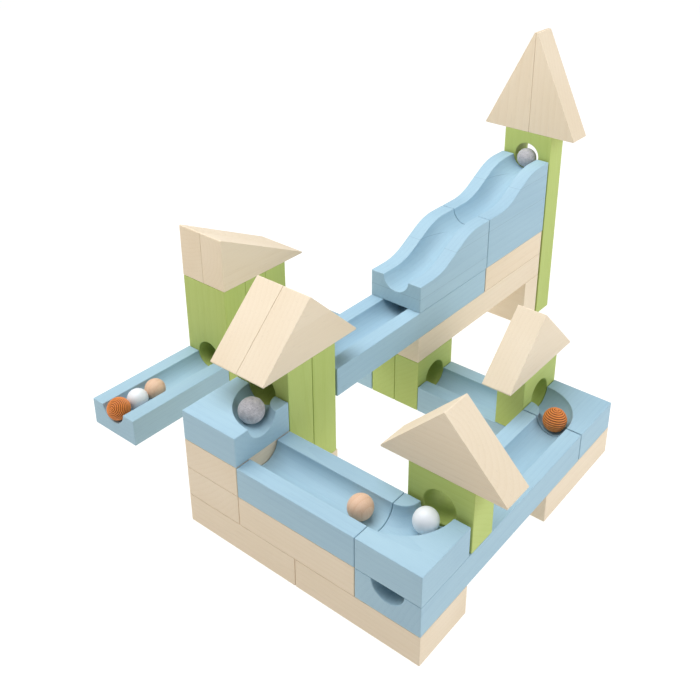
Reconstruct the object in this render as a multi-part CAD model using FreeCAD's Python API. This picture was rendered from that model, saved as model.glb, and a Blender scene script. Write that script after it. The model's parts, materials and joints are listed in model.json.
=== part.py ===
import FreeCAD, Part
import math
import os

# A wooden marble run: plain planks, grooved track blocks, upright tunnel blocks, loose roofs and balls.
# Grid: X along the front row, Y to the rear, Z up, all in millimetres. The grid's zero is the front row's
# front left lower corner. The last section moves everything to the centre of the whole object's base.

Vec = FreeCAD.Vector
UP = Vec(0, 0, 1)

# Driving dimensions
module = 70.0              # width of a plank or track block, and the length of a square one
level = 33.0               # height of one layer of blocks
upright = 33.5             # thickness of a block that stands on edge
roof_thickness = 34.85     # thickness of a roof block
roof_long = 136.0          # long side of a roof triangle, before its tips are rounded
roof_short = 67.0          # short side of a roof triangle
edge_round = 0.9           # rounding of a plank's, track's or tunnel block's edges
roof_edge_round = 0.35     # rounding of a roof's end faces
tip_round = 1.2            # rounding of the roofs' long edges
groove_radius = 17.5       # round-bottomed groove that the balls roll in
groove_depth = 16.5
hole_radius = 17.25        # round tunnel through an upright block
wave_flat = 21.0           # level stretch at each end of a wave block
wave_slope = 29.0          # steepest slope of a wave block, in degrees
wood_ball = 24.0           # ball diameters
ribbed_ball = 26.0
felt_ball = 26.0
ball_lift = 0.3            # air left under a ball at rest
gap = 0.5                  # air between two blocks laid end to end
roof_gap = module - 2 * roof_thickness     # air between two roofs side by side

# Where the rows stand
double = 2 * module
quadruple = 4 * module
tower_y = module + gap                     # front face of the middle tower
upper_track_y = double + gap               # front end of the upper long track
rear_y = 281.5                             # front face of the rear row and the beam
rear_beam_y = rear_y + double + gap        # front end of the upper block
lower_wave_y = 282.0                       # front end of the lower wave
upper_wave_y = lower_wave_y + double + 1   # front end of the upper wave, a little clear of the lower one
column_y = 566.0                           # front face of the tall column, clear of the upper wave
front_house_y = 73.5                       # front face of the house on the right front corner
right_plank_y = 212.0                      # front end of the plank under the right arm
left_x = -205.0                            # left side of the catch track and the left tower
left_corner_x = -209.0                     # left side of the hidden corner behind the left tower
catch_y = 37.0                             # near end of the catch track
left_tower_y = catch_y + double + gap      # front face of the left tower
right_x = 3 * module                       # left side of the right arm
right_house_x = right_x - upright - gap    # left face of the house on the rear row

# How far along its path each ball rests, in grid millimetres or degrees round its corner
front_ball_x = 187.8
turn_ball_angle = 231.0
front_corner_ball_angle = -22.0
rear_corner_ball_angle = 14.0
top_ball_y = 567.0
catch_ball_ys = (45.0, 70.6, 95.2)

top = [n * level for n in range(9)]        # top[n] is the height of n layers

parts = {}


def add(name, shape):
    """Keeps one piece under its node name."""
    parts[name] = shape


def softened(shape, radius=edge_round):
    """The shape with every edge rounded, as sanded wood."""
    return shape.makeFillet(radius, shape.Edges)


def plank(length_x, length_y, height=level):
    return softened(Part.makeBox(length_x, length_y, height))


def groove_cutter(length):
    """A round bar along X that cuts the groove, its axis a little above the block's top face."""
    axis_height = level - groove_depth + groove_radius
    start = Vec(-1, module / 2, axis_height)
    return Part.makeCylinder(groove_radius, length + 2, start, Vec(1, 0, 0))


def straight_track(length):
    """A track block along X."""
    return softened(Part.makeBox(length, module, level).cut(groove_cutter(length)))


def corner_track(turns):
    """A quarter-turn track. Its turn centre is the origin, and it is turned by 90 degrees, turns times."""
    axis_height = level - groove_depth + groove_radius
    ring = Part.makeTorus(module / 2, groove_radius, Vec(0, 0, axis_height), UP)
    ring.rotate(Vec(0, 0, 0), UP, 180)     # the torus's seam stays outside the block
    block = softened(Part.makeBox(module, module, level).cut(ring))
    block.rotate(Vec(0, 0, 0), UP, 90 * turns)
    return block


def straight_track_along_y(length):
    """A track block along Y, with its low corner at the origin."""
    return placed(quarter_turned(straight_track(length)), module, 0, 0)


def wave_line(x, low_height, overrun):
    """The wave's top line at the given x: level, a tangent arc up, a straight slope, an arc over, level."""
    slope = math.radians(wave_slope)
    run = double - 2 * wave_flat
    curved_run = run - level / math.tan(slope)
    bend = curved_run / (2 * math.sin(slope) - 2 * (1 - math.cos(slope)) / math.tan(slope))
    half_bend = slope / 2
    across, rise = bend * math.sin(slope), bend * (1 - math.cos(slope))
    half_across, half_rise = bend * math.sin(half_bend), bend * (1 - math.cos(half_bend))
    far, high = double - wave_flat, low_height + level
    start = Vec(x, -overrun, low_height)
    foot = Vec(x, wave_flat, low_height)
    foot_middle = Vec(x, wave_flat + half_across, low_height + half_rise)
    foot_end = Vec(x, wave_flat + across, low_height + rise)
    head_start = Vec(x, far - across, high - rise)
    head_middle = Vec(x, far - half_across, high - half_rise)
    head = Vec(x, far, high)
    end = Vec(x, double + overrun, high)
    return [
        Part.makeLine(start, foot),
        Part.Arc(foot, foot_middle, foot_end).toShape(),
        Part.makeLine(foot_end, head_start),
        Part.Arc(head_start, head_middle, head).toShape(),
        Part.makeLine(head, end),
    ]


def wave_track(low_layers):
    """A sloping track block along Y: low_layers high at its near end, one layer higher at its far end."""
    low_height = low_layers * level
    line = wave_line(0, low_height, 0)
    far_end = Vec(0, double, low_height + level)
    base_far, base_near = Vec(0, double, 0), Vec(0, 0, 0)
    closing = [
        Part.makeLine(far_end, base_far),
        Part.makeLine(base_far, base_near),
        Part.makeLine(base_near, Vec(0, 0, low_height)),
    ]
    body = Part.Face(Part.Wire(line + closing)).extrude(Vec(module, 0, 0))
    axis_rise = groove_radius - groove_depth
    path = Part.Wire(wave_line(module / 2, low_height + axis_rise, 2))
    start = Vec(module / 2, -2, low_height + axis_rise)
    ring = Part.Wire(Part.makeCircle(groove_radius, start, Vec(0, 1, 0)))
    body = body.cut(path.makePipeShell([ring], True, True))
    return softened(body)


def tunnel_block(layers, hole_layer, along_x=False):
    """An upright block with a round hole through its thickness. The hole runs along Y, or along X."""
    box = Part.makeBox(module, upright, layers * level)
    start = Vec(module / 2, -1, hole_layer * level)
    block = softened(box.cut(Part.makeCylinder(hole_radius, upright + 2, start, Vec(0, 1, 0))))
    if along_x:
        block.rotate(Vec(0, 0, 0), UP, 90)
        block.translate(Vec(upright, 0, 0))
    return block


def prism(corners, thickness):
    """A triangular roof block: corners are (y, z) pairs, and it is extruded along X."""
    points = [Vec(0, y, z) for y, z in corners]
    face = Part.Face(Part.makePolygon(points + points[:1]))
    solid = face.extrude(Vec(thickness, 0, 0))
    long_edges = [edge for edge in solid.Edges if edge.BoundBox.XLength > thickness / 2]
    solid = solid.makeFillet(tip_round, long_edges)
    end_edges = [edge for edge in solid.Edges if edge.BoundBox.XLength < thickness / 2]
    return solid.makeFillet(roof_edge_round, end_edges)


def gable_roof():
    """An isosceles roof whose slopes face -Y and +Y, centred on y = 0."""
    half = roof_long / 2
    return prism([(-half, 0), (half, 0), (0, roof_short)], roof_thickness)


def wedge_roof(run, rise):
    """A right-angled roof: its upright side is at y = 0 and it slopes down to y = run."""
    return prism([(0, 0), (run, 0), (0, rise)], roof_thickness)


def placed(shape, x, y, z):
    moved = shape.copy()
    moved.translate(Vec(x, y, z))
    return moved


def quarter_turned(shape, turns=1):
    moved = shape.copy()
    moved.rotate(Vec(0, 0, 0), UP, 90 * turns)
    return moved


def natural_blocks():
    """The unpainted planks and blocks that everything stands on."""
    add("base_plank_front_left", placed(plank(double - gap, module), 0, 0, 0))
    add("base_plank_front_right", placed(plank(double, module), double, 0, 0))
    add("tower_base_block", placed(plank(module, module - gap), 0, tower_y, 0))
    add("end_block_lower", placed(plank(module - gap, module), 0, 0, top[1]))
    add("end_block_upper", placed(plank(module - gap, module), 0, 0, top[2]))
    add("middle_plank", placed(plank(double - gap, module), module, 0, top[1]))
    add("right_arm_plank", placed(plank(module, double), right_x, right_plank_y, 0))
    add("rear_beam", placed(plank(module, quadruple), 0, rear_y, top[2]))
    add("rear_beam_post", placed(plank(module, upright, 2 * level), 0, rear_y + quadruple - upright, 0))
    add("upper_rear_block", placed(plank(module, double - gap), 0, rear_beam_y, top[3]))


def track_blocks():
    """The grooved blocks, from the top of the run to its end."""
    add("upper_wave_track", placed(wave_track(2), 0, upper_wave_y, top[4]))
    add("lower_wave_track", placed(wave_track(1), 0, lower_wave_y, top[4]))
    add("upper_long_track", placed(straight_track_along_y(quadruple), 0, upper_track_y, top[3]))
    add("turn_corner_track", placed(corner_track(2), module, module, top[3]))
    add("front_straight_track", placed(straight_track(double - gap), module, 0, top[2]))
    add("front_corner_track", placed(corner_track(3), right_x, module, top[2]))
    add("right_long_track", placed(straight_track_along_y(quadruple), right_x, 0, top[1]))
    add("rear_right_corner_track", placed(corner_track(0), right_x, rear_y, top[1]))
    add("rear_straight_track", placed(straight_track(double - 2 * gap), module + gap, rear_y, 0))
    ground_x = left_corner_x + module + gap
    add("ground_straight_track", placed(straight_track(double), ground_x, rear_y, 0))
    add("rear_left_corner_track", placed(corner_track(1), left_corner_x + module, rear_y, 0))
    add("catch_track", placed(straight_track_along_y(double), left_x, catch_y, 0))


def tunnel_blocks():
    """The upright blocks that the balls roll through."""
    add("tall_column", placed(tunnel_block(8, 7), 0, column_y, 0))
    for number, name in enumerate(("front", "rear")):
        y = tower_y + number * (upright + gap)
        add("middle_tower_" + name, placed(tunnel_block(4, 3), 0, y, top[1]))
        x = module - (2 - number) * upright - (1 - number) * gap
        add("rear_gate_" + ("left", "right")[number], placed(tunnel_block(2, 1, True), x, rear_y, 0))
    for number, name in enumerate(("front", "middle", "rear")):
        y = left_tower_y + number * (upright + gap / 2)
        add("left_tower_" + name, placed(tunnel_block(4, 1), left_x, y, 0))
    add("front_house", placed(tunnel_block(2, 1), right_x, front_house_y, top[2]))
    add("right_house", placed(tunnel_block(2, 1, True), right_house_x, rear_y + gap, top[1]))


def roof_blocks():
    """The loose roofs, which rest on the upright blocks by their own weight."""
    ridge_y = tower_y + upright + gap / 2
    pair_x = (0, module - roof_thickness)
    low_wedge = wedge_roof(roof_long, roof_short)
    for side, x in zip(("left", "right"), pair_x):
        add("middle_tower_roof_" + side, placed(gable_roof(), x, ridge_y, top[5]))
        add("left_tower_roof_" + side, placed(low_wedge, left_x + x, left_tower_y, top[4]))
    right_house_roof_x = right_x - gap - roof_thickness
    add("right_house_roof", placed(gable_roof(), right_house_roof_x, rear_y + gap + module / 2, top[3]))
    front_roof = quarter_turned(gable_roof())
    front_roof = placed(front_roof, right_x + module / 2, front_house_y, top[4])
    add("front_house_roof", front_roof)
    half_spire = quarter_turned(wedge_roof(roof_short, roof_long), 3)
    right_half = placed(half_spire, (module + roof_gap) / 2, column_y + roof_thickness, top[8])
    left_half = right_half.mirror(Vec(module / 2, 0, 0), Vec(1, 0, 0))
    add("column_roof_right", right_half)
    add("column_roof_left", left_half)


def ball_height(layers, diameter):
    """Height of a ball's centre as it lies in a groove whose block's top is that many layers up."""
    return top[layers] - groove_depth + ball_lift + diameter / 2


def ball(x, y, layers, diameter):
    return Part.makeSphere(diameter / 2, Vec(x, y, ball_height(layers, diameter)))


def corner_point(centre_x, centre_y, angle):
    """A point on the middle of a corner's groove."""
    turn = math.radians(angle)
    return centre_x + module / 2 * math.cos(turn), centre_y + module / 2 * math.sin(turn)


def balls():
    """The eight balls, where they rest."""
    middle = module / 2
    add("ball_felt_top", ball(middle, top_ball_y, 7, felt_ball))
    x, y = corner_point(module, module, turn_ball_angle)
    add("ball_felt_turn", ball(x, y, 4, felt_ball))
    add("ball_wood_front", ball(front_ball_x, middle, 3, wood_ball))
    x, y = corner_point(right_x, module, front_corner_ball_angle)
    add("ball_white_corner", ball(x, y, 3, wood_ball))
    x, y = corner_point(right_x, rear_y, rear_corner_ball_angle)
    add("ball_ribbed_corner", ball(x, y, 2, ribbed_ball))
    names = ("ball_ribbed_catch", "ball_white_catch", "ball_wood_catch")
    for name, diameter, y in zip(names, (ribbed_ball, wood_ball, wood_ball), catch_ball_ys):
        add(name, ball(left_x + middle, y, 1, diameter))


def base_centre(shapes):
    """The middle of the whole object's base, in grid millimetres."""
    box = FreeCAD.BoundBox()
    for shape in shapes:
        box.add(shape.optimalBoundingBox(False))
    return Vec(box.Center.x, box.Center.y, box.ZMin), box


def main():
    natural_blocks()
    track_blocks()
    tunnel_blocks()
    roof_blocks()
    balls()
    origin, box = base_centre(parts.values())
    os.makedirs("parts", exist_ok=True)
    for name, shape in parts.items():
        shape.translate(-origin)
        shape.exportStep("parts/" + name + ".step")
    print(len(parts), "pieces,", "origin", origin, "box", box)
    bad = [name for name, shape in parts.items() if not shape.isValid() or len(shape.Solids) != 1]
    print("not one valid solid:", bad)
    return origin


main()
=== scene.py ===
"""Looks of the marble run: woods, stains, lacquer, felt and turned rings, the studio and the camera."""

import json
import math
import random

import bmesh
import bpy
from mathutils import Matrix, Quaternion, Vector, noise


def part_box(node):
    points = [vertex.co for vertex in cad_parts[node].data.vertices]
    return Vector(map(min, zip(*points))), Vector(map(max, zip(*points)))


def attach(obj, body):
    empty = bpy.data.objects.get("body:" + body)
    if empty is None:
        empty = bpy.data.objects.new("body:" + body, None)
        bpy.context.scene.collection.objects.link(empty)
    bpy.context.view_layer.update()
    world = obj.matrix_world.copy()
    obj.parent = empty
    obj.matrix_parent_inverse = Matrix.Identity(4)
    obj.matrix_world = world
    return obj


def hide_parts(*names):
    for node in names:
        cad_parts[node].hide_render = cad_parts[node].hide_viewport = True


MM = 0.001

LEVEL = 33 * MM     # height of one layer of blocks

# Tones of the wood and its stains, as eight-bit display values.
NATURAL_LIGHT = (235, 217, 191)
NATURAL_DARK = (227, 206, 176)
HONEY_LIGHT = (236, 217, 190)
HONEY_DARK = (227, 204, 172)
BLUE_LIGHT = (168, 197, 209)
BLUE_DARK = (154, 184, 200)
GREEN_LIGHT = (186, 200, 116)
GREEN_DARK = (176, 190, 100)
BALL_WOOD_LIGHT = (232, 198, 168)
BALL_WOOD_DARK = (212, 164, 130)
ORANGE_LIGHT = (234, 142, 68)
# ORANGE_DARK is also the painted shade at the bottom of the turned balls' grooves.
ORANGE_DARK = (128, 58, 20)
LACQUER_WHITE = (240, 241, 243)
FELT_LIGHT = (204, 199, 200)
FELT_DARK = (148, 144, 148)

# Wood grain: sizes, then the share that each layer has in the drift from the light tone to the dark one.
GRAIN_LEAN = 1.6            # degrees that the grain may lean in a block
RING_PITCH = 5.2 * MM
RING_WANDER = 22 * MM
RING_SHARE = 0.3
FIBRE_SHARE = 0.24
DRIFT_SHARE = 0.6
PORE_SHARE = 0.10
PORE_SHADE = 0.55           # how much of the dark tone's light the pores keep

# Glue lines: how much of the dark tone's light they keep, and half their width.
GLUE_SHADE = 0.78
GLUE_HALF = 0.22 * MM

# Depth of the fine relief in each finish.
FIBRE_RELIEF = 0.05 * MM
RING_RELIEF = 0.04 * MM
LACQUER_RELIEF = 0.12 * MM
WOOL_RELIEF = 0.5 * MM
STREAK_RELIEF = 0.06 * MM

# The turned balls and the felt balls.
RIB_RADIUS = 13 * MM
RIB_DEPTH = 1.1 * MM
RIB_SEGMENTS = 96
STEPS_PER_RIB = 8
FELT_RADIUS = 13 * MM
FELT_RELIEF = 0.28 * MM
DIMPLE_SHARE = 0.45
WOOL_SHARE = 0.55

# Camera, in the model's own frame.
CAMERA_PLACE = Vector((0.5334, -0.7456, 0.6581))
CAMERA_AIM = Vector((-0.0103, 0.0168, 0.2392))
CAMERA_ROLL = math.radians(1.69)
CAMERA_LENS = 47.0
CAMERA_SENSOR = 36
CAMERA_SHIFT = (-0.10, -0.20)

# Studio lights: place, size, power and colour of each softbox, then the sky.
LIGHT_AIM = Vector((0.0, 0.0, 0.12))
KEY = (Vector((-0.38, -0.25, 1.55)), 1.6, 29.5, (0.96, 1.0, 1.05))
SIDE = (Vector((1.9, 0.5, 1.0)), 1.6, 23.5, (0.96, 1.0, 1.04))
FILL = (Vector((-0.95, -0.75, 0.55)), 0.7, 2.2, (1.0, 0.88, 0.7))
SKY_STRENGTH = 0.2
SKY_COLOUR = (0.9, 0.97, 1.06, 1.0)
WHITE = (1.0, 1.0, 1.0, 1.0)

# Studio floor: its own grey, the glow that makes it pale, and how far it reaches and lies below the base.
FLOOR_COLOUR = (0.16, 0.16, 0.16, 1.0)
FLOOR_GLOW_COLOUR = (1.0, 0.995, 0.98, 1.0)
FLOOR_GLOW = 0.965
FLOOR_HALF = 20.0
FLOOR_DROP = 0.2 * MM


def linear(tone):
    """A display tone of 0 to 255 as the linear colour that the shaders take."""
    channels = []
    for value in tone:
        part = value / 255
        channels.append(part / 12.92 if part <= 0.04045 else ((part + 0.055) / 1.055) ** 2.4)
    return (*channels, 1.0)


def dimmed(tone, part):
    """The linear colour of a display tone with only that part of its light."""
    return (*(part * channel for channel in linear(tone)[:3]), 1.0)


# ---------------------------------------------------------------- node helpers

class Shader:
    """A material whose nodes are added by short calls. Values are numbers, colours or nodes' outputs."""

    def __init__(self, name):
        self.material = bpy.data.materials.new(name)
        self.material.use_nodes = True
        self.tree = self.material.node_tree
        self.surface = self.tree.nodes["Principled BSDF"]

    def feed(self, socket, value):
        if isinstance(value, bpy.types.NodeSocket):
            self.tree.links.new(value, socket)
        else:
            socket.default_value = value

    def add(self, kind, settings=None, **inputs):
        made = self.tree.nodes.new(kind)
        for key, value in (settings or {}).items():
            setattr(made, key, value)
        for key, value in inputs.items():
            self.feed(made.inputs[key], value)
        return made

    def paint(self, name, value):
        """Sets one input of the surface itself."""
        self.feed(self.surface.inputs[name], value)

    def own_space(self):
        """The block's own space, which at rest is the model's frame in metres."""
        return self.add("ShaderNodeTexCoord").outputs["Object"]

    def mapped(self, place, **change):
        return self.add("ShaderNodeMapping", Vector=place, **change).outputs[0]

    def split(self, vector):
        return self.add("ShaderNodeSeparateXYZ", Vector=vector).outputs

    def math(self, operation, first, second=0.0, third=0.0):
        made = self.add("ShaderNodeMath", {"operation": operation})
        for socket, value in zip(made.inputs, (first, second, third)):
            self.feed(socket, value)
        return made.outputs[0]

    def mix(self, factor, first, second):
        made = self.add("ShaderNodeMix", {"data_type": "RGBA"})
        for place, value in ((0, factor), (6, first), (7, second)):
            self.feed(made.inputs[place], value)
        return made.outputs[2]

    def spread(self, value, low, high, to_low=0.0, to_high=1.0):
        """The value's range from low to high drawn out to the second range, and held at its ends."""
        made = self.add("ShaderNodeMapRange", {"clamp": True})
        for place, number in enumerate((value, low, high, to_low, to_high)):
            self.feed(made.inputs[place], number)
        return made.outputs[0]

    def noise(self, place, scale, detail=2.0, roughness=0.5):
        made = self.add("ShaderNodeTexNoise", Vector=place, Scale=scale, Detail=detail, Roughness=roughness)
        return made.outputs[0]

    def bump(self, height, distance, strength, under=None):
        """Relief from a height, over the relief given as under."""
        made = self.add("ShaderNodeBump", Height=height, Distance=distance, Strength=strength)
        if under is not None:
            self.feed(made.inputs["Normal"], under)
        return made.outputs[0]


# ---------------------------------------------------------------- materials

def grain_frame(shader, axis, seed):
    """Texture space with X along the grain and the tree's heart to one side, different on each block."""
    draw = random.Random(seed)
    turn = {"X": (0, 0, 0), "Y": (0, 0, math.pi / 2), "Z": (0, math.pi / 2, 0)}[axis]
    lean = math.radians(draw.uniform(-GRAIN_LEAN, GRAIN_LEAN))
    heart = (draw.uniform(-3, 3), draw.uniform(0.12, 0.3), draw.uniform(-0.35, -0.15))
    aligned = shader.mapped(shader.own_space(), Rotation=turn)
    return shader.mapped(aligned, Location=heart, Rotation=(0, lean, lean))


def stretched(shader, place, along):
    """The same texture space, drawn out along the grain."""
    return shader.mapped(place, Scale=(along, 1, 1))


def ring_pattern(shader, place):
    """Year rings about the heart line: 0 in early wood, up to 1 in the thin late wood."""
    wander = shader.noise(stretched(shader, place, 0.12), 9.0)
    parts = shader.split(place)
    across = shader.math("POWER", parts[1], 2.0)
    upward = shader.math("POWER", parts[2], 2.0)
    radius = shader.math("SQRT", shader.math("ADD", across, upward))
    bent = shader.math("MULTIPLY_ADD", wander, RING_WANDER, radius)
    turns = shader.math("FRACT", shader.math("DIVIDE", bent, RING_PITCH))
    return shader.math("POWER", turns, 3.0)


def glue_lines(shader, heights):
    """1 on the thin glue lines between a block's boards, fading out where the surface is nearly level."""
    height_here = shader.split(shader.own_space())[2]
    marks = 0.0
    for height in heights:
        mark = shader.math("COMPARE", height_here, height, GLUE_HALF)
        marks = shader.math("MAXIMUM", mark, marks)
    upward = shader.split(shader.add("ShaderNodeTexCoord").outputs["Normal"])[2]
    return shader.math("MULTIPLY", marks, shader.spread(upward, 0.8, 0.95, 1.0, 0.0))


def wood(name, light, dark, axis, seed, lines=()):
    """Sanded close-grained wood, plain or water-stained: rings, fibres, pores and a soft drift of tone."""
    shader = Shader(name)
    place = grain_frame(shader, axis, seed)
    ring = ring_pattern(shader, place)
    fibre = shader.noise(stretched(shader, place, 0.03), 900.0, 3.0, 0.6)
    pore = shader.noise(stretched(shader, place, 0.12), 520.0, 1.0)
    drift = shader.noise(stretched(shader, place, 0.25), 14.0)

    tone = shader.math("MULTIPLY", ring, RING_SHARE)
    tone = shader.math("MULTIPLY_ADD", shader.spread(fibre, 0.35, 0.7), FIBRE_SHARE, tone)
    tone = shader.math("MULTIPLY_ADD", shader.spread(drift, 0.3, 0.7), DRIFT_SHARE, tone)
    colour = shader.mix(tone, linear(light), linear(dark))
    pores = shader.math("MULTIPLY", shader.spread(pore, 0.64, 0.76), PORE_SHARE)
    colour = shader.mix(pores, colour, dimmed(dark, PORE_SHADE))
    if lines:
        colour = shader.mix(glue_lines(shader, lines), colour, dimmed(dark, GLUE_SHADE))

    shader.paint("Base Color", colour)
    shader.paint("Roughness", shader.spread(fibre, 0.2, 0.8, 0.48, 0.65))
    shader.paint("Specular IOR Level", 0.32)
    fine = shader.bump(fibre, FIBRE_RELIEF, 0.6)
    shader.paint("Normal", shader.bump(ring, RING_RELIEF, 0.5, fine))
    return shader.material


def lacquer(name, seed):
    """White satin lacquer over turned wood, with the faint unevenness of a dipped coat."""
    shader = Shader(name)
    place = shader.mapped(shader.own_space(), Location=(seed, 0.3 * seed, 0))
    sag = shader.noise(place, 90.0)
    speck = shader.noise(place, 1500.0)
    colour = shader.mix(shader.spread(sag, 0.3, 0.7), linear(LACQUER_WHITE), dimmed(LACQUER_WHITE, 0.93))
    shader.paint("Base Color", colour)
    shader.paint("Roughness", shader.spread(speck, 0.3, 0.7, 0.36, 0.46))
    shader.paint("Coat Weight", 0.25)
    shader.paint("Coat Roughness", 0.3)
    shader.paint("Normal", shader.bump(sag, LACQUER_RELIEF, 0.5))
    return shader.material


def felt(name, seed):
    """Dense wool felt: mottled grey fibres of several shades under a soft sheen."""
    shader = Shader(name)
    place = shader.mapped(shader.own_space(), Location=(seed, 0, 0.4 * seed))
    patch = shader.noise(place, 260.0)
    strand = shader.noise(shader.mapped(place, Scale=(1, 0.3, 1)), 950.0, 3.0, 0.65)
    crossing = shader.noise(shader.mapped(place, Scale=(0.3, 1, 1)), 850.0, 3.0, 0.65)
    mottle = shader.math("ADD", shader.math("MULTIPLY", strand, 0.5), shader.math("MULTIPLY", crossing, 0.5))
    fine = shader.spread(mottle, 0.42, 0.62, 0.0, 0.55)
    tone = shader.math("MULTIPLY_ADD", shader.spread(patch, 0.3, 0.7), 0.45, fine)
    shader.paint("Base Color", shader.mix(tone, linear(FELT_LIGHT), linear(FELT_DARK)))
    shader.paint("Roughness", 0.95)
    shader.paint("Specular IOR Level", 0.12)
    shader.paint("Sheen Weight", 0.35)
    shader.paint("Sheen Roughness", 0.6)
    shader.paint("Normal", shader.bump(mottle, WOOL_RELIEF, 0.9))
    return shader.material


def turned_orange(name, centre, axis):
    """Orange stain on turned rings, with painted shade darkening it towards the bottom of the grooves."""
    shader = Shader(name)
    place = shader.own_space()
    distance = shader.add("ShaderNodeVectorMath", {"operation": "DISTANCE"})
    shader.feed(distance.inputs[0], place)
    shader.feed(distance.inputs[1], centre)
    # Painted shade: 0 at the groove floor up to 1 on the ring tops, so the grooves come out darker.
    height = shader.spread(distance.outputs["Value"], RIB_RADIUS - RIB_DEPTH, RIB_RADIUS)
    streak = shader.noise(shader.mapped(place, Rotation=axis, Scale=(1, 1, 0.2)), 420.0, 3.0)
    # Painted groove shade with faint streaks over it, mixed from the dark tone to the light one.
    groove_shade_and_streak = shader.math("MULTIPLY_ADD", streak, 0.3, height)
    colour = shader.mix(shader.spread(groove_shade_and_streak, 0.25, 1.1), linear(ORANGE_DARK), linear(ORANGE_LIGHT))
    shader.paint("Base Color", colour)
    shader.paint("Roughness", shader.spread(streak, 0.3, 0.7, 0.42, 0.55))
    shader.paint("Specular IOR Level", 0.4)
    shader.paint("Normal", shader.bump(streak, STREAK_RELIEF, 0.5))
    return shader.material


# ---------------------------------------------------------------- the balls that replace plain spheres

def centre_of(node):
    low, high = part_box(node)
    return (low + high) / 2


def mesh_piece(name, shape, material):
    """A smooth-shaded object made from the shape."""
    mesh = bpy.data.meshes.new(name)
    shape.to_mesh(mesh)
    shape.free()
    mesh.shade_smooth()
    mesh.materials.append(material)
    piece = bpy.data.objects.new(name, mesh)
    bpy.context.scene.collection.objects.link(piece)
    return piece


def ribbed_radius(polar, rings):
    """The turned ball's radius at that angle from its pole: rounded rings with narrow grooves between."""
    groove = (0.5 + 0.5 * math.cos(2 * rings * polar)) ** 2
    return RIB_RADIUS - RIB_DEPTH * groove


def ribbed_ball(node, pole, rings):
    """A ball turned with that many rounded rings about one axis, closed at both poles."""
    steps = rings * STEPS_PER_RIB
    centre = centre_of(node)
    aim = Vector((0, 0, 1)).rotation_difference(pole.normalized()).to_matrix()
    shape = bmesh.new()
    loops = []
    for step in range(1, steps):
        polar = math.pi * step / steps
        out, along = math.sin(polar), math.cos(polar)
        radius = ribbed_radius(polar, rings)
        loop = []
        for segment in range(RIB_SEGMENTS):
            turn = 2 * math.pi * segment / RIB_SEGMENTS
            way = Vector((math.cos(turn) * out, math.sin(turn) * out, along))
            loop.append(shape.verts.new(centre + aim @ (radius * way)))
        loops.append(loop)
    tip = aim @ Vector((0, 0, ribbed_radius(0, rings)))
    top = shape.verts.new(centre + tip)
    bottom = shape.verts.new(centre - tip)
    for segment in range(RIB_SEGMENTS):
        after = (segment + 1) % RIB_SEGMENTS
        shape.faces.new((top, loops[0][segment], loops[0][after]))
        shape.faces.new((bottom, loops[-1][after], loops[-1][segment]))
        for upper, lower in zip(loops, loops[1:]):
            shape.faces.new((upper[segment], lower[segment], lower[after], upper[after]))
    material = turned_orange(f"{node}_stain", centre, aim.to_euler())
    return mesh_piece(f"{node}_turned", shape, material)


def felt_ball(node, seed):
    """A hand-rolled felt ball: soft dimples and a finer woolly relief, never outside its solid."""
    centre = centre_of(node)
    shift = Vector((seed, 2 * seed, -seed))
    shape = bmesh.new()
    bmesh.ops.create_icosphere(shape, subdivisions=6, radius=1.0)
    for vert in shape.verts:
        way = vert.co.normalized()
        dimple = noise.noise(2.2 * way + shift)
        wool = noise.fractal(9.0 * way + shift, 0.8, 2.2, 3)
        lift = max(-1.0, min(1.0, DIMPLE_SHARE * dimple + WOOL_SHARE * wool))
        vert.co = centre + (FELT_RADIUS - FELT_RELIEF * (0.5 - 0.5 * lift)) * way
    return mesh_piece(f"{node}_wool", shape, felt(f"{node}_felt", seed))


def swap_ball(piece, node):
    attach(piece, f"{node}_body")
    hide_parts(node)


def build_balls():
    for node, pole, rings in (
        ("ball_ribbed_corner", Vector((0.05, 0.10, 1.0)), 16),
        ("ball_ribbed_catch", Vector((0.15, -0.81, 0.56)), 19),
    ):
        swap_ball(ribbed_ball(node, pole, rings), node)
    for node, seed in (("ball_felt_top", 3.1), ("ball_felt_turn", 7.4)):
        swap_ball(felt_ball(node, seed), node)


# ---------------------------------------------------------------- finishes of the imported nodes

def grain_axis(node):
    """The axis of the block's longest side, which the grain runs along."""
    low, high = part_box(node)
    size = high - low
    longest = max(range(3), key=lambda place: size[place])
    return "XYZ"[longest]


def wave_lines(node):
    """Heights of a wave block's two highest glue lines: half a level and one and a half below its top."""
    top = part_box(node)[1].z
    return [top - 0.5 * LEVEL, top - 1.5 * LEVEL]


def assign(node_object, material):
    node_object.data.materials.clear()
    node_object.data.materials.append(material)


def finish_nodes(nodes, slots):
    """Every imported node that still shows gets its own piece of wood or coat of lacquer."""
    tones = {
        "natural_wood": (NATURAL_LIGHT, NATURAL_DARK),
        "blue_wood": (BLUE_LIGHT, BLUE_DARK),
        "green_wood": (GREEN_LIGHT, GREEN_DARK),
        "ball_wood": (BALL_WOOD_LIGHT, BALL_WOOD_DARK),
    }
    for seed, (name, slot) in enumerate(slots.items()):
        if slot in ("felt", "ribbed_orange"):
            continue
        if slot == "white_lacquer":
            assign(nodes[name], lacquer(f"{name}_lacquer", seed))
            continue
        light, dark = tones[slot]
        if name == "upper_rear_block":
            light, dark = HONEY_LIGHT, HONEY_DARK
        lines = wave_lines(name) if name.endswith("wave_track") else ()
        assign(nodes[name], wood(f"{name}_wood", light, dark, grain_axis(name), seed, lines))


# ---------------------------------------------------------------- studio and camera

def softbox(name, place, size, power, colour):
    """A square soft light aimed at the middle of the object."""
    light = bpy.data.lights.new(name, "AREA")
    light.size = size
    light.energy = power
    light.color = colour
    lamp = bpy.data.objects.new(name, light)
    lamp.location = place
    lamp.rotation_euler = (LIGHT_AIM - place).to_track_quat("-Z", "Y").to_euler()
    bpy.context.scene.collection.objects.link(lamp)


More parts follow.
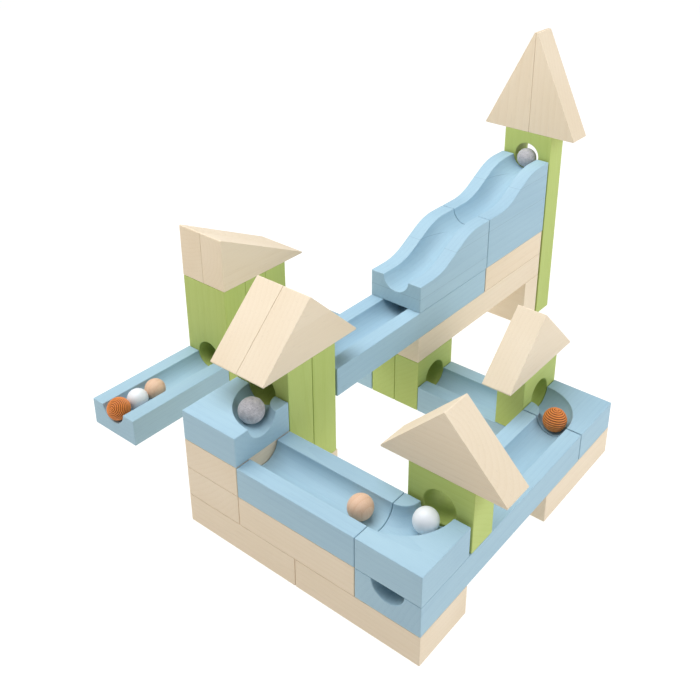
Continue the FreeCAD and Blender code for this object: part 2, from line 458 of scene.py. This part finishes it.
def pale_world():
    """A dim even sky for the light it gives, shown to the camera as the same white as the floor."""
    world = bpy.data.worlds.new("studio")
    world.use_nodes = True
    tree = world.node_tree
    lit = tree.nodes["Background"]
    lit.inputs["Color"].default_value = SKY_COLOUR
    lit.inputs["Strength"].default_value = SKY_STRENGTH
    shown = tree.nodes.new("ShaderNodeBackground")
    shown.inputs["Color"].default_value = WHITE
    shown.inputs["Strength"].default_value = 1.0
    path = tree.nodes.new("ShaderNodeLightPath")
    choice = tree.nodes.new("ShaderNodeMixShader")
    tree.links.new(path.outputs["Is Camera Ray"], choice.inputs[0])
    tree.links.new(lit.outputs[0], choice.inputs[1])
    tree.links.new(shown.outputs[0], choice.inputs[2])
    tree.links.new(choice.outputs[0], tree.nodes["World Output"].inputs["Surface"])
    return world


def build_floor():
    """A wide pale floor just under the object's base."""
    shader = Shader("studio_floor")
    shader.paint("Base Color", FLOOR_COLOUR)
    shader.paint("Roughness", 0.9)
    shader.paint("Specular IOR Level", 0.0)
    shader.paint("Emission Color", FLOOR_GLOW_COLOUR)
    shader.paint("Emission Strength", FLOOR_GLOW)
    corners = [(x * FLOOR_HALF, y * FLOOR_HALF, 0) for x, y in ((-1, -1), (1, -1), (1, 1), (-1, 1))]
    mesh = bpy.data.meshes.new("studio_floor")
    mesh.from_pydata(corners, [], [(0, 1, 2, 3)])
    mesh.materials.append(shader.material)
    floor = bpy.data.objects.new("studio_floor", mesh)
    floor.location.z = -FLOOR_DROP
    bpy.context.scene.collection.objects.link(floor)


def build_studio():
    scene = bpy.context.scene
    scene.view_settings.view_transform = "Standard"
    scene.world = pale_world()
    softbox("key_softbox", *KEY)
    softbox("side_softbox", *SIDE)
    softbox("fill_softbox", *FILL)
    build_floor()


def build_camera():
    lens = bpy.data.cameras.new("camera")
    lens.lens = CAMERA_LENS
    lens.sensor_width = CAMERA_SENSOR
    lens.shift_x, lens.shift_y = CAMERA_SHIFT
    camera = bpy.data.objects.new("camera", lens)
    camera.location = CAMERA_PLACE
    level_view = (CAMERA_AIM - CAMERA_PLACE).to_track_quat("-Z", "Y")
    camera.rotation_mode = "QUATERNION"
    camera.rotation_quaternion = level_view @ Quaternion((0, 0, 1), CAMERA_ROLL)
    bpy.context.scene.collection.objects.link(camera)
    bpy.context.scene.camera = camera


with open("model.json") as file:
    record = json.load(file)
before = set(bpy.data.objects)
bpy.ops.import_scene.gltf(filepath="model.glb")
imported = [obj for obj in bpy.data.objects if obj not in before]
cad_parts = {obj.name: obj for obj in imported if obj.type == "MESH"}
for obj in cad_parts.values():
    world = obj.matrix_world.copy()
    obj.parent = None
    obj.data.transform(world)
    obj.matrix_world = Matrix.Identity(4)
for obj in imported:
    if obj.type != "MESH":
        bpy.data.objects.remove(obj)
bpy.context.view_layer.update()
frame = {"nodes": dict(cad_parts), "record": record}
slots = {part["node"]: part["material_slot"] for part in frame["record"]["subparts"]}
build_camera()
build_studio()
finish_nodes(frame["nodes"], slots)
build_balls()
